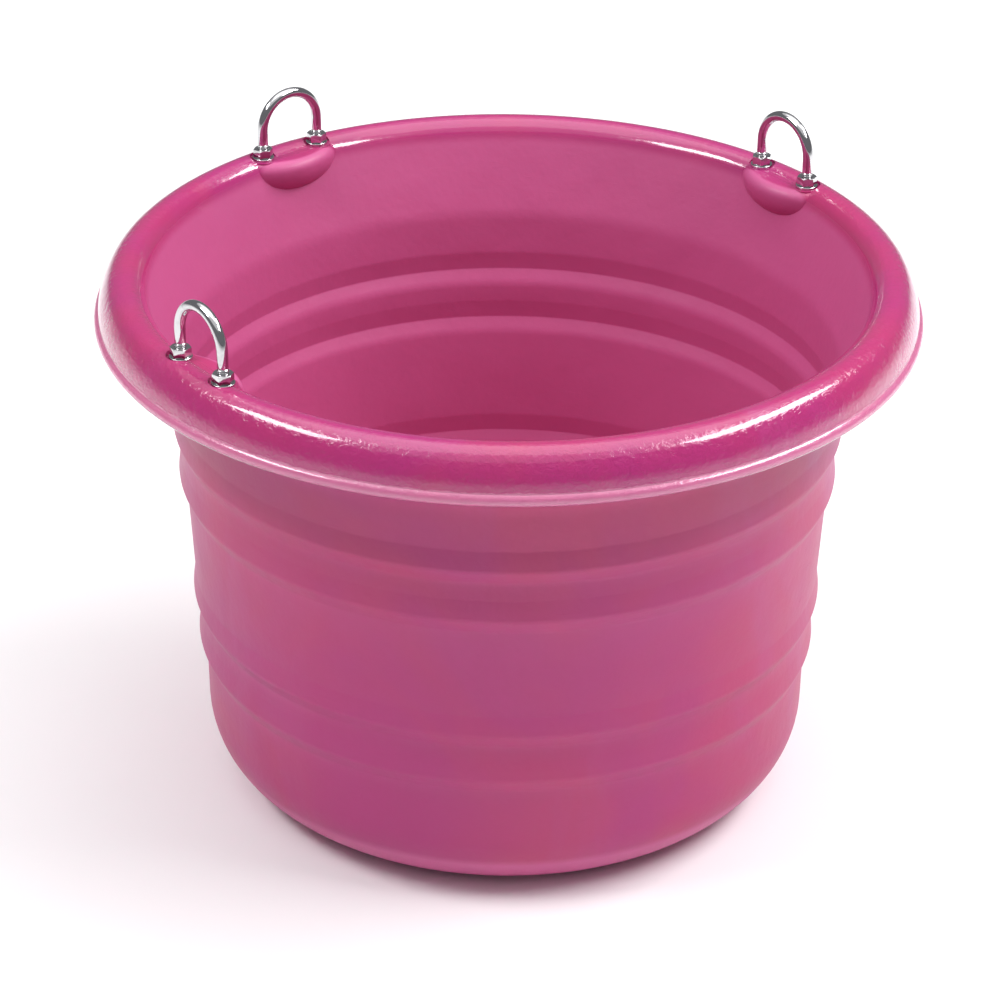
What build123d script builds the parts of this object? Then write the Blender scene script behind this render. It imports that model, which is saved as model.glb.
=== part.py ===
from build123d import *
import os
from math import cos, radians, sin, tan

# Round stable manger: a moulded plastic tub with a rolled rim, carried by three steel U-bolt
# rings that are clamped through the rim. Millimetres, +Z up, origin on the ground at the
# centre of the base. The middle ring stands at +Y and the other two at -X and +X.

# ---- overall sizes of the tub ----
rim_radius = 225.0  # outer edge of the rolled rim
tub_height = 304.0  # ground to the top of the rim
base_inset = 56.5  # rim edge beyond the foot of the side wall
wall = 4.0  # moulded wall everywhere

# ---- base and side wall ----
base_corner_radius = 44.0
rim_overhang = 36.7  # rim edge beyond the top of the side wall
lower_rib_height = 83.5  # lowest rib above the ground
lower_rib_pitch = 29.0
upper_rib_drop = 87.5  # highest rib below the top of the rim
upper_rib_pitch = 30.5
rib_proud = 2.4  # rib edge outside the straight wall
rib_undercut = 1.1  # foot of the step inside the straight wall
rib_step_height = 8.0  # step face below the edge
rib_back_height = 12.0  # slow flare above the edge
rib_edge_radius = 6.0
rib_hollow_radius = 9.0

# ---- rolled rim ----
rim_section_width = 29.5  # inner edge of the roll to the outer edge of the rim
crown_radius = 12.0  # top of the roll, on the visible side
crown_turn = 55.0  # turn of the crown past its top, before the outer face
apron_radius = 30.0  # outer face of the roll
flare_angle = 19.0  # lean of the wall as it opens into the roll
flare_fillet = 30.0
lip_radius = 3.6  # bead along the lower edge

# ---- ring seats and bosses ----
ring_inset = 23.0  # rim edge beyond the line of the legs
seat_depth = 2.2  # flat seat below the top of the rim
seat_thickness = 4.4
seat_margin = 1.6  # seat beyond the washer
spot_face_clearance = 0.4  # cut around the lower washer
boss_depth = 16.5  # line of the legs to the inner face of the boss
boss_radius = 44.0  # plan curve of the boss
boss_edge_radius = 6.0
boss_belly_radius = 17.0

# ---- U-bolts, nuts and washers, M6 ----
bar_diameter = 6.0
ring_inside_width = 32.0
ring_rise = 39.0  # seat to the top of the bar
thread_tail = 3.5  # leg beyond the lock nut
thread_chamfer = 0.8
leg_hole_clearance = 0.4
washer_hole_clearance = 0.2
thread_clearance = 0.05
washer_diameter = 12.5
washer_thickness = 1.6
nut_across_flats = 10.0
nut_height = 5.0
nut_chamfer = 0.6
lock_collar_height = 2.2
lock_collar_diameter = 8.8
nut_turn = 17.0  # each nut is tightened to a different angle

# ring name: its angle about +Z, and the names of its two legs
rings = {
    "left": (180, ("rear", "front")),
    "back": (90, ("right", "left")),
    "right": (0, ("front", "rear")),
}

# ---- derived sizes ----
base_radius = rim_radius - base_inset
ring_radius = rim_radius - ring_inset
boss_reach = ring_radius - boss_depth
wall_top_radius = rim_radius - rim_overhang
crown_centre_radius = rim_radius - rim_section_width + crown_radius
crown_centre_height = tub_height - crown_radius
channel_radius = crown_radius - wall
wall_lean = (wall_top_radius - base_radius) / (crown_centre_height - base_corner_radius)
bar_radius = bar_diameter / 2
leg_offset = ring_inside_width / 2 + bar_radius
seat_height = tub_height - seat_depth
seat_underside = seat_height - seat_thickness
seat_radius = washer_diameter / 2 + seat_margin
spot_face_radius = washer_diameter / 2 + spot_face_clearance
bow_height = seat_height + ring_rise - bar_radius - leg_offset
upper_nut_seat = seat_height + washer_thickness
lock_nut_seat = seat_underside - washer_thickness
leg_end = lock_nut_seat - nut_height - lock_collar_height - thread_tail
boss_axis_radius = boss_reach + boss_radius
STANDING = (Align.CENTER, Align.CENTER, Align.MIN)
HANGING = (Align.CENTER, Align.CENTER, Align.MAX)


def wall_radius(height):
    """Outside of the straight, slightly tapered side wall at a height."""
    return base_radius + wall_lean * (height - base_corner_radius)


def rib_points(height):
    """Foot, edge and back of one rib, from below."""
    foot = height - rib_step_height
    back = height + rib_back_height
    return [
        (wall_radius(foot) - rib_undercut, foot),
        (wall_radius(height) + rib_proud, height),
        (wall_radius(back), back),
    ]


def boss_outline(skin, roof):
    """Half section of a ring boss about its own upright axis, drawn in by a skin thickness."""
    reach = boss_radius - skin
    belly = boss_belly_radius - skin
    edge = boss_edge_radius - skin
    shoulder = seat_height - boss_edge_radius
    edge_start = reach - edge
    half_turn = radians(45)
    edge_middle = (
        edge_start + edge * cos(half_turn),
        shoulder + (roof - shoulder) * sin(half_turn),
    )
    Line((0, roof), (edge_start, roof))
    ThreePointArc((edge_start, roof), edge_middle, (reach, shoulder))
    CenterArc((reach - belly, shoulder), belly, 0, -90)
    Polyline((reach - belly, shoulder - belly), (0, shoulder - belly), (0, roof))


def around(angle, radius, offset, height=0, turn=0):
    """A place at a ring: out along its radius, then sideways, then up, turned about +Z."""
    spot = Vector(radius, offset, height).rotate(Axis.Z, angle)
    return Location(spot, (0, 0, turn))


def at_legs(height):
    """The six leg places at one height."""
    return [
        around(angle, ring_radius, hand * leg_offset, height)
        for angle, _ in rings.values()
        for hand in (-1, 1)
    ]


def export_node(piece, name):
    """Write one finished piece under its node name."""
    piece.part.label = name
    export_step(piece.part, f"parts/{name}.step")


os.makedirs("parts", exist_ok=True)

# ---- outside of the wall, from the axis under the base up into the roll ----
flare = radians(flare_angle)
roll_start = (
    crown_centre_radius - channel_radius * cos(flare),
    crown_centre_height + channel_radius * sin(flare),
)
flare_gap = roll_start[0] - wall_radius(roll_start[1])
flare_foot = roll_start[1] - flare_gap / (tan(flare) - wall_lean)

rib_heights = [
    lower_rib_height,
    lower_rib_height + lower_rib_pitch,
    tub_height - upper_rib_drop - upper_rib_pitch,
    tub_height - upper_rib_drop,
]
wall_points = [(0, 0), (base_radius, 0)]
wall_fillets = [base_corner_radius]
for rib_height in rib_heights:
    wall_points += rib_points(rib_height)
    wall_fillets += [rib_hollow_radius, rib_edge_radius, rib_hollow_radius]
wall_points += [(wall_radius(flare_foot), flare_foot), roll_start]
wall_fillets += [flare_fillet]

# ---- boss behind a ring, and the pocket under it that clears the lower nuts ----
with BuildPart() as boss:
    with BuildSketch(Plane.XZ):
        with BuildLine():
            boss_outline(0, seat_height)
        make_face()
    revolve(axis=Axis.Z)

with BuildPart() as pocket:
    with BuildSketch(Plane.XZ):
        with BuildLine():
            boss_outline(wall, seat_underside)
        make_face()
    revolve(axis=Axis.Z)

boss_places = [around(angle, boss_axis_radius, 0) for angle, _ in rings.values()]

with BuildPart() as bosses:
    with Locations(*boss_places):
        add(boss.part)
    Cylinder(ring_radius, tub_height * 2, mode=Mode.INTERSECT)

with BuildPart() as pockets:
    with Locations(*boss_places):
        add(pocket.part)
    Cylinder(crown_centre_radius, tub_height * 2, mode=Mode.INTERSECT)

# ---- tub: one moulding, with a flat seat and a hole for each leg ----
with BuildPart() as tub:
    with BuildSketch(Plane.XZ):
        with BuildLine():
            FilletPolyline(*wall_points, radius=wall_fillets)
            crown = CenterArc(
                (crown_centre_radius, crown_centre_height),
                channel_radius,
                180 - flare_angle,
                flare_angle - 90 - crown_turn,
            )
            apron = JernArc(crown @ 1, crown % 1, apron_radius - wall, crown_turn - 90)
            offset(amount=wall, side=Side.LEFT)
        make_face()
        with Locations((rim_radius - lip_radius, (apron @ 1).Y - lip_radius / 2)):
            Circle(lip_radius)
    revolve(axis=Axis.Z)
    add(bosses.part)
    with Locations(*at_legs(seat_underside)):
        Cylinder(seat_radius, seat_thickness, align=STANDING)
    add(pockets.part, mode=Mode.SUBTRACT)
    with Locations(*at_legs(seat_height)):
        Cylinder(seat_radius, crown_radius, align=STANDING, mode=Mode.SUBTRACT)
    with Locations(*at_legs(seat_underside)):
        Cylinder(spot_face_radius, washer_thickness, align=HANGING, mode=Mode.SUBTRACT)
    with Locations(*at_legs(0)):
        Cylinder(bar_radius + leg_hole_clearance, tub_height * 3, mode=Mode.SUBTRACT)
export_node(tub, "tub")

# ---- patterns for the repeated hardware, standing on z = 0 ----
with BuildPart() as corner_trim:
    Cylinder(nut_across_flats / 2 / cos(radians(30)), nut_height, align=STANDING)
    chamfer(corner_trim.edges().filter_by(GeomType.CIRCLE), nut_chamfer)

with BuildPart() as hex_nut:
    with BuildSketch():
        RegularPolygon(nut_across_flats / 2, 6, major_radius=False)
    extrude(amount=nut_height)
    add(corner_trim.part, mode=Mode.INTERSECT)
    Hole(bar_radius + thread_clearance)

with BuildPart() as lock_nut:
    with BuildSketch():
        RegularPolygon(nut_across_flats / 2, 6, major_radius=False)
    extrude(amount=-nut_height)
    with Locations((0, 0, -nut_height)):
        add(corner_trim.part, mode=Mode.INTERSECT)
        Cylinder(lock_collar_diameter / 2, lock_collar_height, align=HANGING)
    fillet(lock_nut.edges().filter_by(GeomType.CIRCLE).sort_by(Axis.Z)[0], nut_chamfer)
    Hole(bar_radius + thread_clearance)

with BuildPart() as washer:
    Cylinder(washer_diameter / 2, washer_thickness, align=STANDING)
    Hole(bar_radius + washer_hole_clearance)

# ---- one U-bolt per ring, and one set of nuts and washers per leg ----
set_count = 0
for ring, (ring_angle, leg_names) in rings.items():
    ring_plane = Plane(
        origin=Vector(ring_radius, 0, 0).rotate(Axis.Z, ring_angle),
        x_dir=Vector(0, 1, 0).rotate(Axis.Z, ring_angle),
        z_dir=Vector(1, 0, 0).rotate(Axis.Z, ring_angle),
    )
    with BuildPart() as u_bolt:
        with BuildLine(ring_plane) as bar_path:
            rising = Line((-leg_offset, leg_end), (-leg_offset, bow_height))
            bow = JernArc(rising @ 1, rising % 1, leg_offset, -180)
            Line(bow @ 1, (leg_offset, leg_end))
        with BuildSketch(Plane(bar_path.line @ 0, z_dir=bar_path.line % 0)):
            Circle(bar_radius)
        sweep()
        chamfer(u_bolt.edges().filter_by(GeomType.CIRCLE).group_by(Axis.Z)[0], thread_chamfer)
    export_node(u_bolt, f"{ring}_u_bolt")

    for hand, leg_name in zip((-1, 1), leg_names):
        set_count += 1
        turn = ring_angle + set_count * nut_turn
        stack = {
            "upper_washer": (washer, seat_height),
            "upper_nut": (hex_nut, upper_nut_seat),
            "lower_washer": (washer, lock_nut_seat),
            "lock_nut": (lock_nut, lock_nut_seat),
        }
        for piece_name, (pattern, height) in stack.items():
            with BuildPart() as piece:
                with Locations(around(ring_angle, ring_radius, hand * leg_offset, height, turn)):
                    add(pattern.part)
            export_node(piece, f"{ring}_ring_{leg_name}_{piece_name}")
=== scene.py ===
# %% [markdown]
# # A hanging stable bucket
#
# The bucket is one raspberry-pink moulding with a rolled rim, a ribbed wall and a rounded base
# corner. Three bright steel rings stand on the rim, each held by nuts and washers above and
# below the plastic. The measured model is loaded first as a fixed frame, and every piece below
# is built in the same place and at the same size, so nothing has to be fitted afterwards.

# %% Load the frame
from math import acos, atan2, cos, degrees, pi, radians, sin, tan

import bpy
from mathutils import Matrix, Vector


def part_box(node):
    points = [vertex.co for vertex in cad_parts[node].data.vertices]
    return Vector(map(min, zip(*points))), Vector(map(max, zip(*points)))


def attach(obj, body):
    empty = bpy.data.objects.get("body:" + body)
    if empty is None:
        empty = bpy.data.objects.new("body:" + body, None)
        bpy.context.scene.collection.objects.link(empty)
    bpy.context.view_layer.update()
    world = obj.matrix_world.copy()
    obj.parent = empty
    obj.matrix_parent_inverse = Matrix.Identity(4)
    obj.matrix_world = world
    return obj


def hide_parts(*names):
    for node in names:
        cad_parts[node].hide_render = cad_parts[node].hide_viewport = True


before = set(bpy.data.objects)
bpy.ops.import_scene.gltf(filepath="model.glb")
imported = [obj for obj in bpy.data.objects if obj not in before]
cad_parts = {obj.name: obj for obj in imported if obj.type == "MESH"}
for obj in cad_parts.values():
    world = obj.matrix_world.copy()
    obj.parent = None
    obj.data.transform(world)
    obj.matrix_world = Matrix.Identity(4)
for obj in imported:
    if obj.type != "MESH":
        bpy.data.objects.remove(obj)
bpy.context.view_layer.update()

tub_low, tub_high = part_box("tub")
print("tub, mm:", [round(1000 * (high - low), 1) for low, high in zip(tub_low, tub_high)])

# %% [markdown]
# ## Helpers for working by hand
#
# Every tool in Blender acts on what is selected, and the loaded frame arrives selected. So each
# step starts by selecting nothing, and then picks just the piece it is about to change. The
# sizes are easier to read in millimetres, while Blender works in metres, so one factor turns
# the first into the second.

# %% Selecting, applying and cutting
MM = 0.001


def select_only(*pieces):
    """Leave edit mode, and select these pieces alone, the first one active."""
    if bpy.context.mode != "OBJECT":
        bpy.ops.object.mode_set(mode="OBJECT")
    bpy.ops.object.select_all(action="DESELECT")
    for piece in pieces:
        piece.select_set(True)
    bpy.context.view_layer.objects.active = pieces[0] if pieces else None


def edit(piece, mode="VERT"):
    """Open one piece in edit mode."""
    select_only(piece)
    bpy.ops.object.mode_set(mode="EDIT")
    bpy.ops.mesh.select_mode(type=mode)


def finish_modifier(piece, kind, **settings):
    """Add one modifier, set it, and apply it to the mesh."""
    modifier = piece.modifiers.new(kind.lower(), kind)
    for key, value in settings.items():
        setattr(modifier, key, value)
    select_only(piece)
    bpy.ops.object.modifier_apply(modifier=modifier.name)


def combine(piece, tool, operation):
    """Join a tool to a piece, or cut it away, and then throw the tool away."""
    finish_modifier(piece, "BOOLEAN", operation=operation, object=tool, solver="EXACT")
    bpy.data.objects.remove(tool)


def make_outward(piece):
    """Weld doubled points and turn every face outwards."""
    edit(piece)
    bpy.ops.mesh.select_all(action="SELECT")
    bpy.ops.mesh.remove_doubles(threshold=0.00001)
    bpy.ops.mesh.normals_make_consistent(inside=False)
    bpy.ops.object.mode_set(mode="OBJECT")


def rod(radius, low, high, x=0, y=0, sides=64):
    """A round bar standing between two heights, in millimetres."""
    select_only()
    bpy.ops.mesh.primitive_cylinder_add(
        vertices=sides, radius=radius * MM, depth=(high - low) * MM,
        location=(x * MM, y * MM, (low + high) / 2 * MM),
    )
    bpy.ops.object.transform_apply(location=True, rotation=True, scale=True)
    return bpy.context.object


def turned_copy(piece, name, angle, shift=(0, 0, 0), spin=0):
    """A copy with its own mesh: spun on itself, shifted, then turned about the tub's axis."""
    copy = piece.copy()
    copy.data = piece.data.copy()
    copy.name = copy.data.name = name
    bpy.context.collection.objects.link(copy)
    place = Matrix.Rotation(radians(angle), 4, "Z")
    place @= Matrix.Translation(Vector(shift) * MM)
    copy.matrix_world = place @ Matrix.Rotation(radians(spin), 4, "Z")
    select_only(copy)
    bpy.ops.object.transform_apply(location=True, rotation=True, scale=True)
    return copy


# %% [markdown]
# ## The outline of the tub
#
# A round moulding is easiest to make like a pot on a wheel: draw half of its section once, and
# spin it. The outline runs from the axis, under the base, up the ribbed wall and over the rolled
# rim. It is written as a few corner points, each with a rounding, because that is how a mould
# maker would dimension it. A small function replaces each corner by its arc.

# %% Sizes of the moulding, in millimetres
rim_radius = 1000 * tub_high.x
tub_height = 1000 * tub_high.z
wall = 4.0
base_radius, base_corner = rim_radius - 56.5, 44.0
wall_top_radius = rim_radius - 36.7
rib_heights = [83.5, 112.5, tub_height - 118, tub_height - 87.5]
rib_reach, rib_undercut = 2.4, 1.1
rib_below, rib_above = 8, 12
rib_foot_rounding, rib_crest_rounding = 9.0, 6.0
crown_x, crown_z, channel_radius = rim_radius - 17.5, tub_height - 12, 8.0
flare_angle, flare_rounding, crown_turn, apron_radius = 19.0, 30.0, 55.0, 26.0
lip_radius = 3.6
plain_base = 62.0
wall_lean = (wall_top_radius - base_radius) / (crown_z - base_corner)


def wall_radius(height):
    """Outside of the plain tapered wall at a height."""
    return base_radius + wall_lean * (height - base_corner)


def arc(centre, radius, start, end, step):
    """Points along an arc, from one angle to another, in degrees."""
    count = max(2, round(abs(end - start) / step))
    angles = [radians(start + (end - start) * i / count) for i in range(count + 1)]
    return [(centre[0] + radius * cos(a), centre[1] + radius * sin(a)) for a in angles]


def rounded_corner(before, corner, after, radius, step=11.0):
    """The arc that rounds one corner."""
    corner = Vector(corner)
    back = (Vector(before) - corner).normalized()
    on = (Vector(after) - corner).normalized()
    half = acos(max(-1, min(1, back.dot(on)))) / 2
    centre = corner + (back + on).normalized() * radius / sin(half)
    first = corner + back * radius / tan(half) - centre
    last = corner + on * radius / tan(half) - centre
    start = degrees(atan2(first.y, first.x))
    turn = (degrees(atan2(last.y, last.x)) - start + 180) % 360 - 180
    return arc(centre, radius, start, start + turn, min(step, abs(turn) / 4))


flare = radians(flare_angle)
roll_start = (crown_x - channel_radius * cos(flare), crown_z + channel_radius * sin(flare))
roll_overhang = roll_start[0] - wall_radius(roll_start[1])
flare_foot = roll_start[1] - roll_overhang / (tan(flare) - wall_lean)

corners = [(0, 0), (base_radius, 0)]
roundings = [base_corner]
for height in rib_heights:
    corners += [
        (wall_radius(height - rib_below) - rib_undercut, height - rib_below),
        (wall_radius(height) + rib_reach, height),
        (wall_radius(height + rib_above), height + rib_above),
    ]
    roundings += [rib_foot_rounding, rib_crest_rounding, rib_foot_rounding]
corners += [(wall_radius(flare_foot), flare_foot), roll_start]
roundings += [flare_rounding]

under_skin = [(0.0, 0.0), (plain_base, 0.0)]
for i, radius in enumerate(roundings):
    step = 5.0 if radius == base_corner else 9.0
    under_skin += rounded_corner(corners[i], corners[i + 1], corners[i + 2], radius, step)
under_skin += arc((crown_x, crown_z), channel_radius, 180 - flare_angle, 90 - crown_turn, 7.0)
apron_start = Vector(under_skin[-1])
outward = Vector((cos(radians(90 - crown_turn)), sin(radians(90 - crown_turn))))
apron_centre = apron_start - outward * apron_radius
under_skin += arc(apron_centre, apron_radius, 90 - crown_turn, 0, 5.0)[1:]
print("points along the underside:", len(under_skin))

# %% [markdown]
# ## The thickness of the wall and the bead
#
# The moulding is the same thickness everywhere, so the inner line is the outer line moved
# sideways by that much. The two are joined by the round bead along the rim's lower edge, where
# the mould's halves meet and the plastic is thickest.

# %% Close the section


def moved_sideways(points, distance):
    """The same line, moved to its left by a distance."""
    moved = []
    for i, point in enumerate(points):
        before, after = points[max(i - 1, 0)], points[min(i + 1, len(points) - 1)]
        along = (Vector(after) - Vector(before)).normalized()
        moved.append((point[0] - along.y * distance, point[1] + along.x * distance))
    return moved


upper_skin = moved_sideways(under_skin, wall)
upper_skin[0] = (0.0, wall)
lip_centre = (rim_radius - lip_radius, under_skin[-1][1] - lip_radius / 2)
lip_start, lip_end, lip_gap = 137.2852, 427.8882, 0.3
lip = arc(lip_centre, lip_radius, lip_start, lip_end, 15.0)
section = [p for p in under_skin if p[0] < crown_x or p[1] > lip[0][1] + lip_gap]
section += lip
section += [p for p in reversed(upper_skin) if p[0] < crown_x or p[1] > lip[-1][1] + lip_gap]
print("points round the section:", len(section))

# %% [markdown]
# ## Spin the tub
#
# A plane is merged to a single point on the axis, and that point is extruded along the section.
# Spinning the line a full turn makes the whole moulding at once, inside and outside together.

# %% Extrude the section and spin it


def spun(points, name, steps, centre=(0, 0)):
    """A solid of revolution about an upright axis, from its half section in millimetres."""
    select_only()
    bpy.ops.mesh.primitive_plane_add(size=0.01, location=(0, 0, 0))
    piece = bpy.context.object
    piece.name = piece.data.name = name
    edit(piece)
    bpy.ops.mesh.select_all(action="SELECT")
    bpy.ops.mesh.merge(type="CENTER")
    start = points[0]
    bpy.ops.transform.translate(value=((centre[0] + start[0]) * MM, centre[1] * MM, start[1] * MM))
    for here, there in zip(points, points[1:]):
        step = ((there[0] - here[0]) * MM, 0, (there[1] - here[1]) * MM)
        bpy.ops.mesh.extrude_region_move(TRANSFORM_OT_translate={"value": step})
    bpy.ops.mesh.select_all(action="SELECT")
    bpy.ops.mesh.spin(
        steps=steps, angle=2 * pi, axis=(0, 0, 1), center=(centre[0] * MM, centre[1] * MM, 0)
    )
    make_outward(piece)
    return piece


tub = spun(section, "tub_moulding", 256)
print("tub faces:", len(tub.data.polygons))

# %% [markdown]
# ## Bosses, seats and pockets
#
# Behind each ring the rim is thickened by a rounded boss, so that the nuts bear on a flat seat.
# The boss is hollow underneath, to leave room for the lower nuts. Each is a small spun solid of
# its own, joined to the tub or cut from it, in the order the mould would form them.

# %% Sizes at the rings
ring_radius, leg_offset = rim_radius - 23.0, 19.0
seat_height = tub_height - 2.2
seat_underside = seat_height - 4.4
boss_axis, boss_radius, boss_edge, boss_belly = ring_radius + 27.5, 44.0, 6.0, 17.0
washer_radius, washer_thickness = 6.25, 1.6
leg_hole, spot_face, seat_face = 3.4, 6.65, 7.85  # radii of the cuts round each leg
seat_stock = seat_face - 0.15
hair = 0.04  # keeps two flat faces from lying exactly on each other
ring_angles = {"left": 180, "back": 90, "right": 0}


def boss_section(skin, roof):
    """Half section of a boss, drawn in by a skin thickness."""
    reach, belly, edge = boss_radius - skin, boss_belly - skin, boss_edge - skin
    shoulder = seat_height - boss_edge
    points = [(0, shoulder - belly)]
    points += arc((reach - belly, shoulder), belly, -90, 0, 7.5)
    rise, edge_steps = roof - shoulder, 8
    for i in range(1, edge_steps + 1):
        turn = radians(90 * i / edge_steps)
        points.append((reach - edge + edge * cos(turn), shoulder + rise * sin(turn)))
    return points + [(0, roof)]


def at_every_ring(pattern, shifts=((0, 0, 0),)):
    """One object holding a copy of a pattern at each ring, and the pattern thrown away."""
    copies = [
        turned_copy(pattern, "copy", angle, shift)
        for angle in ring_angles.values()
        for shift in shifts
    ]
    bpy.data.objects.remove(pattern)
    select_only(*copies)
    bpy.ops.object.join()
    return copies[0]


both_legs = ((ring_radius, -leg_offset, 0), (ring_radius, leg_offset, 0))
boss = spun(boss_section(0, seat_height - hair), "boss", 96, (boss_axis, 0))
combine(boss, rod(ring_radius, -tub_height, 2 * tub_height, sides=256), "INTERSECT")
combine(tub, at_every_ring(boss), "UNION")
seat = rod(seat_stock, seat_underside + 0.6, seat_height + 0.5)
combine(tub, at_every_ring(seat, both_legs), "UNION")

# %% [markdown]
# Cutting goes wrong where two faces lie exactly on each other, because either could be kept. So
# each seat is first left a little too tall and a little too slim, the roof of the boss a hair
# lower than the seat, and one turned cutter per leg then brings all of it to size.

# %% Cut the pockets and the seats
pocket = spun(boss_section(wall, seat_underside - hair), "pocket", 96, (boss_axis, 0))
combine(pocket, rod(crown_x, -tub_height, 2 * tub_height, sides=256), "INTERSECT")
combine(tub, at_every_ring(pocket), "DIFFERENCE")
spot = seat_underside - washer_thickness
cut_bottom, cut_top = spot - 30, tub_height + 9
leg_cut = [(0, cut_bottom), (leg_hole, cut_bottom), (leg_hole, spot), (spot_face, spot)]
leg_cut += [(spot_face, seat_underside), (leg_hole, seat_underside), (leg_hole, seat_height)]
leg_cut += [(seat_face, seat_height), (seat_face, cut_top), (0, cut_top)]
combine(tub, at_every_ring(spun(leg_cut, "leg_cut", 48), both_legs), "DIFFERENCE")
make_outward(tub)
select_only(tub)
bpy.ops.object.shade_smooth_by_angle(angle=radians(32))
print("tub faces with bosses:", len(tub.data.polygons))

# %% [markdown]
# ## The rings
#
# Each ring is one bar of steel, bent to a bow, with a rolled thread on both legs. Half of it is
# enough: a circle is extruded up one leg, in and out for the crests of the thread, then spun a
# quarter turn to the top of the bow. The mirror modifier makes the other half.

# %% Model one ring
bar_radius, leg_chamfer, ring_rise = 3.0, 0.8, 39
nut_height, nut_flats, collar_height, thread_tail = 5.0, 10.0, 2.2, 3.5
thread_pitch, thread_depth, thread_showing = 1.0, 0.42, 2.0
bow_height = seat_height + ring_rise - bar_radius - leg_offset
upper_nut_seat = seat_height + washer_thickness
lock_nut_seat = seat_underside - washer_thickness
leg_end = lock_nut_seat - nut_height - collar_height - thread_tail
thread_end = upper_nut_seat + nut_height + thread_showing
root_radius = bar_radius - thread_depth
crest_profile = ((0.44, bar_radius), (0.56, bar_radius), (0.94, root_radius), (1.0, root_radius))


def ring_to(height, radius, state):
    """Extrude the open end of the bar up to a height, and set its radius there."""
    bpy.ops.mesh.extrude_region_move(
        TRANSFORM_OT_translate={"value": (0, 0, (height - state["height"]) * MM)}
    )
    scale = radius / state["radius"]
    centre = (ring_radius * MM, leg_offset * MM, height * MM)
    bpy.ops.transform.resize(value=(scale, scale, 1), center_override=centre)
    state.update(height=height, radius=radius)


select_only()
bpy.ops.mesh.primitive_circle_add(
    vertices=32, radius=(bar_radius - leg_chamfer) * MM, fill_type="NOTHING",
    location=(ring_radius * MM, leg_offset * MM, leg_end * MM),
)
bpy.ops.object.transform_apply(location=True, rotation=True, scale=True)
ring_pattern = bpy.context.object
edit(ring_pattern)
bpy.ops.mesh.select_all(action="SELECT")
state = {"height": leg_end, "radius": bar_radius - leg_chamfer}
crest = leg_end + leg_chamfer
ring_to(crest, root_radius, state)
while crest + thread_pitch < thread_end:
    for rise, radius in crest_profile:
        ring_to(crest + rise * thread_pitch, radius, state)
    crest += thread_pitch
ring_to(crest + 0.7, bar_radius, state)
ring_to(bow_height, bar_radius, state)
bpy.ops.mesh.spin(
    steps=24, angle=-pi / 2, axis=(1, 0, 0), center=(ring_radius * MM, 0, bow_height * MM)
)
bpy.ops.object.mode_set(mode="OBJECT")
finish_modifier(ring_pattern, "MIRROR", use_axis=(False, True, False), merge_threshold=0.00002)
edit(ring_pattern)
bpy.ops.mesh.select_all(action="SELECT")
bpy.ops.mesh.fill_holes(sides=40)
make_outward(ring_pattern)
select_only(ring_pattern)
bpy.ops.object.shade_smooth_by_angle(angle=radians(50))
print("ring faces:", len(ring_pattern.data.polygons))

# %% [markdown]
# ## Nuts and washers
#
# A nut starts as a six-sided bar. Its corners are turned off by a chamfered round, as on a
# lathe, the bore is cut through, and a fine bevel rounds the edges, because it is those small
# rounded edges that catch the light on plated steel. The lock nut adds a collar; the nylon
# ring that a real one holds inside it is not modelled. One of each is modelled at the axis, and
# then copied to every leg.

# %% Model one of each
corner_radius = nut_flats / 2 / cos(radians(30))
corner_trim, chamfer_height = 0.75, 0.42
bore_radius, washer_hole = bar_radius + 0.05, bar_radius + 0.2


def rounded_edges(piece, width, segments=2, angle=25):
    """A fine bevel on the sharp edges, then smooth shading between them."""
    finish_modifier(
        piece, "BEVEL", width=width * MM, segments=segments, limit_method="ANGLE",
        angle_limit=radians(angle), use_clamp_overlap=True,
    )
    select_only(piece)
    bpy.ops.object.shade_smooth_by_angle(angle=radians(35))


def hexagon(low, high):
    """A hexagon bar with both ends turned to a chamfer."""
    bar = rod(corner_radius, low, high, sides=6)
    bar.data.transform(Matrix.Rotation(radians(30), 4, "Z"))
    face_radius = corner_radius - corner_trim
    trim = [(0, low), (face_radius, low), (corner_radius, low + chamfer_height)]
    trim += [(corner_radius, high - chamfer_height), (face_radius, high), (0, high)]
    combine(bar, spun(trim, "trim", 64), "INTERSECT")
    return bar


nut_pattern = hexagon(0, nut_height)
combine(nut_pattern, rod(bore_radius, -2, nut_height + 2), "DIFFERENCE")
rounded_edges(nut_pattern, 0.16)

lock_pattern = hexagon(-nut_height, 0)
collar = [(0, -7.2), (3.75, -7.2), (4.05, -7.12), (4.3, -6.9), (4.4, -6.6), (4.4, -4.6), (0, -4.6)]
combine(lock_pattern, spun(collar, "collar", 64), "UNION")
combine(lock_pattern, rod(bore_radius, -10, 2), "DIFFERENCE")
rounded_edges(lock_pattern, 0.14)

washer_pattern = rod(washer_radius, 0, washer_thickness)
combine(washer_pattern, rod(washer_hole, -1, 3), "DIFFERENCE")
rounded_edges(washer_pattern, 0.28, 3)
print("nut faces:", len(nut_pattern.data.polygons))

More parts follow.
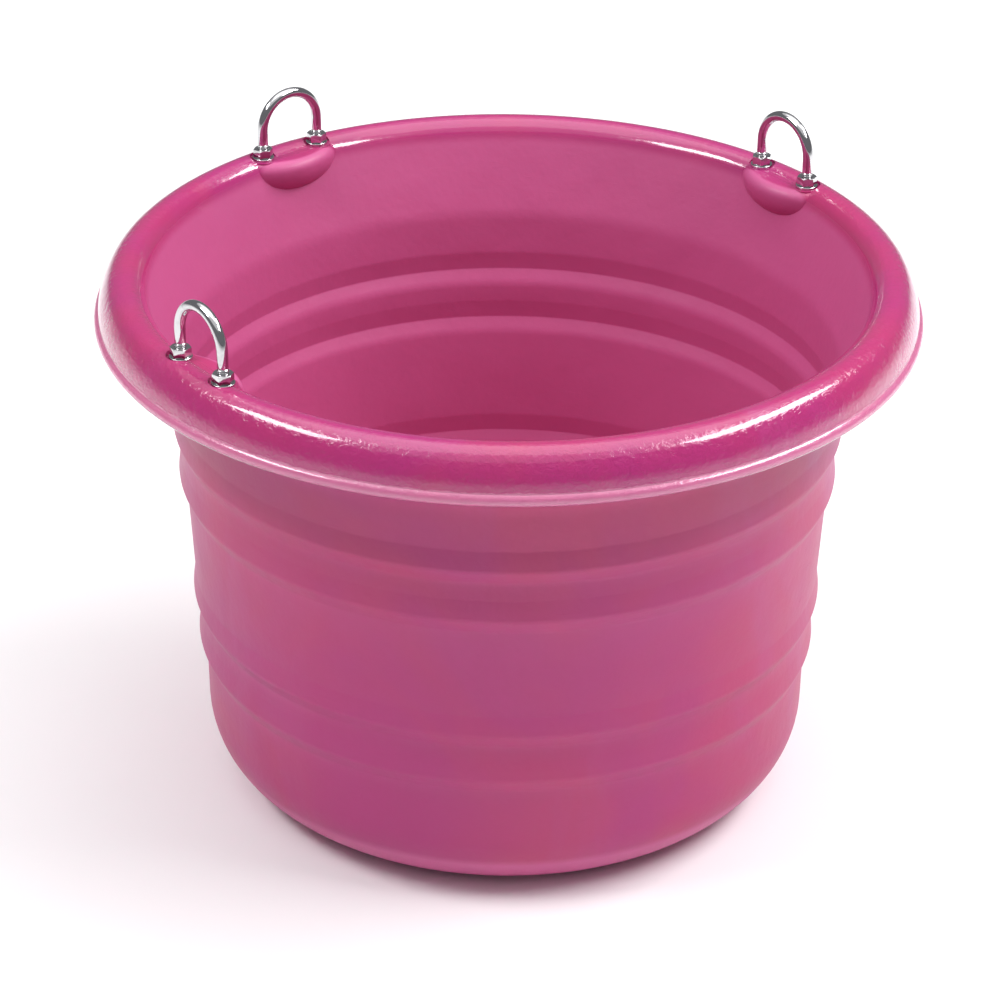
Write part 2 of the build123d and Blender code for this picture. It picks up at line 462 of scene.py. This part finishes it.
# %% Copy the hardware to the three rings
hardware = []
leg_names = {"left": ("rear", "front"), "back": ("right", "left"), "right": ("front", "rear")}
turn_count, spanner_turn = 0, 17.0
for ring, angle in ring_angles.items():
    bow = turned_copy(ring_pattern, f"{ring}_ring_bar", angle)
    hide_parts(f"{ring}_u_bolt")
    hardware.append((bow, "bar"))
    for hand, leg in zip((-1, 1), leg_names[ring]):
        turn_count += 1
        spin = turn_count * spanner_turn
        for pattern, kind, height in (
            (washer_pattern, "upper_washer", seat_height),
            (nut_pattern, "upper_nut", upper_nut_seat),
            (washer_pattern, "lower_washer", lock_nut_seat),
            (lock_pattern, "lock_nut", lock_nut_seat),
        ):
            where = (ring_radius, hand * leg_offset, height)
            node = f"{ring}_ring_{leg}_{kind}"
            piece = turned_copy(pattern, f"{node}_detail", angle, where, spin)
            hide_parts(node)
            "plated_washer" if "washer" in kind else "plated_nut"
            hardware.append((piece, "washer" if "washer" in kind else "nut"))
for pattern in (ring_pattern, nut_pattern, lock_pattern, washer_pattern):
    bpy.data.objects.remove(pattern)
for piece, _ in hardware:
    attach(piece, "root")
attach(tub, "root")
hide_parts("tub")
print("pieces:", len(hardware) + 1)

# %% [markdown]
# ## Shader maths as plain arithmetic
#
# A material is a sum of small calculations on the position of each point. Wrapping a socket in
# a class that knows +, -, * and / lets those be written as ordinary expressions, and every other
# kind of node comes from one method.

# %% The socket class


class Flow:
    """A shader socket that can be used in arithmetic."""

    def __init__(self, tree, socket=None):
        self.tree = tree
        self.socket = socket

    def node(self, kind, inputs=(), out=0, stops=(), **settings):
        """Any node: its settings first, then the values or links of its sockets."""
        made = self.tree.nodes.new(kind)
        for key, value in settings.items():
            setattr(made, key, value)
        for i, (place, colour) in enumerate(stops):
            spots = made.color_ramp.elements
            spot = spots[i] if i < len(spots) else spots.new(place)
            spot.position, spot.color = place, colour
        for key, value in dict(inputs).items():
            if isinstance(value, Flow):
                self.tree.links.new(value.socket, made.inputs[key])
            else:
                made.inputs[key].default_value = value
        return Flow(self.tree, made.outputs[out])

    def maths(self, operation, first, second=0.0, third=0.0):
        """One Math node on values or sockets."""
        return self.node("ShaderNodeMath", {0: first, 1: second, 2: third}, operation=operation)

    def __add__(self, other): return self.maths("ADD", self, other)
    def __radd__(self, other): return self.maths("ADD", other, self)
    def __sub__(self, other): return self.maths("SUBTRACT", self, other)
    def __rsub__(self, other): return self.maths("SUBTRACT", other, self)
    def __mul__(self, other): return self.maths("MULTIPLY", self, other)
    def __rmul__(self, other): return self.maths("MULTIPLY", other, self)
    def __truediv__(self, other): return self.maths("DIVIDE", self, other)
    def __pow__(self, other): return self.maths("POWER", self, other)

    def axes(self):
        """The three parts of a vector."""
        parts = self.node("ShaderNodeSeparateXYZ", {0: self})
        return [Flow(self.tree, output) for output in parts.socket.node.outputs]

    def step(self, low, high):
        """0 below low, 1 above high, and a smooth change between."""
        inputs = {"Value": self, "From Min": low, "From Max": high}
        return self.node("ShaderNodeMapRange", inputs, interpolation_type="SMOOTHSTEP")

    def mix(self, first, second):
        """Two colours mixed by this value."""
        inputs = {0: self, 6: first, 7: second}
        return self.node("ShaderNodeMix", inputs, out=2, data_type="RGBA")

    def noise(self, place, scale, detail=2.0, roughness=0.5, distortion=0.0):
        """Soft noise, larger numbers of scale giving finer grain."""
        inputs = {"Vector": place, "Scale": scale, "Detail": detail, "Roughness": roughness,
                  "Distortion": distortion}
        return self.node("ShaderNodeTexNoise", inputs)

    def bump(self, height, distance, strength=1.0, under=None):
        """Small relief, laid over any relief under it."""
        inputs = {"Height": height, "Distance": distance, "Strength": strength}
        if under:
            inputs["Normal"] = under
        return self.node("ShaderNodeBump", inputs)


def new_finish(name):
    """An empty material, with a start for its arithmetic and its surface shader."""
    finish = bpy.data.materials.new(name)
    finish.use_nodes = True
    tree = finish.node_tree
    tree.nodes.clear()
    surface = tree.nodes.new("ShaderNodeBsdfPrincipled")
    output = tree.nodes.new("ShaderNodeOutputMaterial")
    tree.links.new(surface.outputs[0], output.inputs[0])
    return finish, Flow(tree), surface


def set_surface(flow, surface, **inputs):
    """Link or set the surface shader's sockets, with spaces written as underscores."""
    for key, value in inputs.items():
        socket = surface.inputs[key.replace("_", " ")]
        if isinstance(value, Flow):
            flow.tree.links.new(value.socket, socket)
        else:
            socket.default_value = value


# %% [markdown]
# ## Raspberry plastic
#
# Moulded polyethylene is soft and a little waxy. Its colour is mixed in and so is nearly even,
# clouded slightly between a cooler and a warmer pink. The surface has the fine dimpling of an
# orange skin and, over larger distances, shallow waves where the wall cooled unevenly. The rim
# is polished by the mould and by handling, the inside is satin, and the base is rubbed dull.

# %% Make the plastic


def raspberry_plastic():
    """Pink polyethylene, its masks measured in metres from the tub's axis and the ground."""
    finish, flow, surface = new_finish("raspberry_plastic")
    place = flow.node("ShaderNodeTexCoord", out="Object")
    x, y, height = place.axes()
    radius = (x * x + y * y) ** 0.5

    # where the surface belongs: the inside, the rim, the bead that carries a painted highlight,
    # and the foot
    wall_line = base_radius * MM + wall_lean * (height - base_corner * MM)
    within = (wall_line - radius).step(0.0004, 0.0030) * height.step(0.002, 0.006)
    facing_x, facing_y, _ = flow.node("ShaderNodeNewGeometry", out="Normal").axes()
    inward = 0 - (facing_x * x + facing_y * y) / radius
    past_flare = radius.step(0.1945, 0.1985)
    flared = inward.step(0.05, 0.35) * (1 - past_flare)
    inside = flow.maths("MAXIMUM", within, flared)
    rim = height.step(0.272, 0.279) * past_flare
    outer_rim = height.step(0.276, 0.280) * radius.step(0.199, 0.204)
    painted_light_inside = inside * (1 - rim)
    ragged = flow.noise(place, 120.0, 3.0, 0.6)
    # painted highlight: a ragged band along the bead on the rim's lower edge, which is painted
    # paler pink
    painted_bead_highlight = outer_rim * radius.step(0.2165, 0.2185)
    painted_bead_highlight = painted_bead_highlight * (1 - (height + 0.0028 * (ragged - 0.5)).step(0.2836, 0.2846))
    foot = 1 - height.step(0.004, 0.034)

    # colour: clouds, drawn-out streaks, fine speckle and what use has rubbed, then painted light:
    # the inside painted lighter and paler, and a painted highlight along the bead
    clouds = flow.noise(place, 7.0, 3.0, 0.55, 0.6)
    streaks_place = flow.node("ShaderNodeMapping", {0: place, "Scale": (1.0, 1.0, 0.22)})
    streaks = flow.noise(streaks_place, 16.0, 4.0, 0.6, 0.8)
    speckle = flow.noise(place, 900.0, 2.0, 0.5)
    cool, warm = (0.400, 0.021, 0.160, 1), (0.440, 0.028, 0.130, 1)
    colour = clouds.step(0.36, 0.66).mix(cool, warm)
    colour = (streaks.step(0.52, 0.78) * 0.45).mix(colour, (0.425, 0.048, 0.200, 1))
    colour = (speckle.step(0.56, 0.74) * 0.16).mix(colour, (0.40, 0.022, 0.130, 1))
    rubbed = flow.noise(place, 55.0, 5.0, 0.7, 1.2).step(0.50, 0.72) * foot
    colour = (rubbed * 0.38).mix(colour, (0.56, 0.115, 0.245, 1))
    # painted light: the inside is painted lighter and paler than the outside, for the light that
    # fills the tub
    colour = (painted_light_inside * 0.90).mix(colour, (0.550, 0.100, 0.265, 1))
    # the painted highlight along the bead, a paler pink
    colour = (painted_bead_highlight * 0.70).mix(colour, (0.66, 0.200, 0.360, 1))

    # polish: a glossy rim, a satin wall, and dull scratches and rubbed places
    scratch_place = flow.node("ShaderNodeMapping", {0: place, "Scale": (1.0, 1.0, 11.0)})
    scratches = flow.noise(scratch_place, 42.0, 5.0, 0.72, 0.4).step(0.60, 0.70)
    rough = 0.40 + 0.06 * clouds + 0.05 * scratches + 0.16 * rubbed
    rough = rough + 0.06 * painted_light_inside - 0.26 * rim + 0.10 * painted_bead_highlight

    # relief, from the broad waves down to the scratches and the turned rings of the base
    peel = flow.noise(place, 230.0, 2.0, 0.45)
    waves = flow.noise(place, 17.0, 2.0, 0.5)
    rings = flow.node("ShaderNodeMath", {0: radius * 900.0}, operation="SINE")
    turned = rings * (1 - height.step(0.0005, 0.002)) * 0.5
    relief = flow.bump(waves, 0.0035, 0.5)
    lumps = flow.noise(place, 260.0, 3.0, 0.60, 0.4)
    relief = flow.bump(lumps * outer_rim, 0.0012, 0.50, relief)
    relief = flow.bump(ragged * painted_bead_highlight, 0.0012, 0.6, relief)
    relief = flow.bump(peel, 0.00035, 0.40, relief)
    relief = flow.bump(scratches + turned, 0.00004, 0.6, relief)
    set_surface(
        flow, surface, Base_Color=colour, Roughness=rough, Normal=relief,
        Coat_Weight=0.04 + 0.96 * rim, Coat_Roughness=0.07, IOR=1.5,
        Subsurface_Weight=0.06, Subsurface_Radius=(0.9, 0.25, 0.4), Subsurface_Scale=0.004,
    )
    return finish


tub.data.materials.clear()
tub.data.materials.append(raspberry_plastic())

# %% [markdown]
# ## Bright plated steel
#
# Plating is a mirror with a little history: fine drawing marks along the bar, a haze of small
# scratches, and dark tarnish in random patches.

# %% Make the platings


def plated_steel(name, tone, base_rough, haze):
    """Bright plating of one tone, with drawing marks, haze and tarnish."""
    finish, flow, surface = new_finish(name)
    place = flow.node("ShaderNodeTexCoord", out="Object")
    haze_map = flow.noise(place, 420.0, 4.0, 0.65, 0.3).step(0.42, 0.72)
    drawn_place = flow.node("ShaderNodeMapping", {0: place, "Scale": (6.0, 6.0, 0.6)})
    drawn = flow.noise(drawn_place, 900.0, 3.0, 0.6)
    tarnish = flow.noise(place, 130.0, 4.0, 0.6, 0.8).step(0.52, 0.74)
    bright = (tone, tone * 0.99, tone * 1.01, 1)
    dull = (tone * 0.55, tone * 0.53, tone * 0.54, 1)
    colour = (tarnish * 0.45).mix(bright, dull)
    rough = base_rough + haze * haze_map + 0.05 * tarnish
    relief = flow.bump(drawn, 0.00002, 0.5)
    set_surface(flow, surface, Base_Color=colour, Roughness=rough, Metallic=1.0, Normal=relief)
    return finish


platings = {
    "bar": plated_steel("plated_bar_steel", 0.62, 0.05, 0.07),
    "nut": plated_steel("plated_nut_steel", 0.66, 0.08, 0.09),
    "washer": plated_steel("plated_washer_steel", 0.68, 0.12, 0.12),
}
for piece, kind in hardware:
    piece.data.materials.clear()
    piece.data.materials.append(platings[kind])

# %% [markdown]
# ## Floor, light and camera
#
# The bucket stands in a plain studio. The floor is pale and wide, so that it throws light back
# up under the ribs and the rim. Two long soft boxes, one on each side, draw the streaks along
# the rim, and a large one overhead fills the tub. A very wide, weak sun stands for the white
# ceiling and keeps the floor pale out to its far edge. What is left dark between them is what
# gives the plated rings their contrast.

# %% Lay the floor
select_only()
bpy.ops.mesh.primitive_plane_add(size=40, location=(0, 0, -0.0002))
bpy.ops.object.transform_apply(location=True, rotation=True, scale=True)
floor = bpy.context.object
floor.name = "studio_floor"
paper, flow, surface = new_finish("pale_paper")
grain = flow.noise(flow.node("ShaderNodeTexCoord", out="Object"), 3.0, 3.0)
shade = grain.step(0.3, 0.7).mix((0.90, 0.90, 0.90, 1), (0.93, 0.93, 0.93, 1))
set_surface(flow, surface, Base_Color=shade, Roughness=0.9)
floor.data.materials.append(paper)

# %% Hang the lights
view_turn = -39.2


def soft_box(name, azimuth, elevation, distance, width, depth, power):
    """A soft box aimed at the rim, placed by its direction as seen from the viewer's side."""
    turn, rise = radians(azimuth + view_turn), radians(elevation)
    aim = Vector((0, 0, 0.25))
    away = Vector((cos(turn) * cos(rise), sin(turn) * cos(rise), sin(rise)))
    lamp = bpy.data.lights.new(name, "AREA")
    lamp.shape, lamp.size, lamp.size_y, lamp.energy = "RECTANGLE", width, depth, power
    light = bpy.data.objects.new(name, lamp)
    bpy.context.collection.objects.link(light)
    light.location = aim + away * distance
    light.rotation_euler = (-away).to_track_quat("-Z", "Y").to_euler()
    return light


soft_box("right_box", 0, 48, 2.3, 1.9, 0.46, 50)
soft_box("left_box", -167, 48, 2.3, 1.1, 0.46, 26)
soft_box("overhead_box", 90, 82, 3.2, 3.2, 3.2, 36)

ceiling = bpy.data.lights.new("white_ceiling", "SUN")
ceiling.energy, ceiling.angle = 1.05, radians(100)
ceiling_light = bpy.data.objects.new("white_ceiling", ceiling)
bpy.context.collection.objects.link(ceiling_light)

world = bpy.data.worlds.new("studio")
world.use_nodes = True
world.node_tree.nodes["Background"].inputs["Color"].default_value = (0.93, 0.94, 1.0, 1)
world.node_tree.nodes["Background"].inputs["Strength"].default_value = 0.21
bpy.context.scene.world = world
bpy.context.scene.view_settings.view_transform = "Standard"

# %% Set up the camera
yaw, pitch, roll = radians(-0.13), radians(28.73), radians(0.547)
standing_point = (0, -1.8022, 1.1467)
forward = Vector((sin(yaw) * cos(pitch), cos(yaw) * cos(pitch), -sin(pitch)))
level = Vector((cos(yaw), -sin(yaw), 0))
upright = level.cross(forward)
across = cos(roll) * level + sin(roll) * upright
upward = across.cross(forward)
turned = Matrix.Rotation(radians(view_turn), 4, "Z")
basis = Matrix((across, upward, -forward)).transposed().to_4x4()
lens = bpy.data.cameras.new("camera")
lens.lens, lens.sensor_width = 132.16, 36.0
camera = bpy.data.objects.new("camera", lens)
bpy.context.collection.objects.link(camera)
camera.matrix_world = turned @ Matrix.Translation(standing_point) @ basis
bpy.context.scene.camera = camera
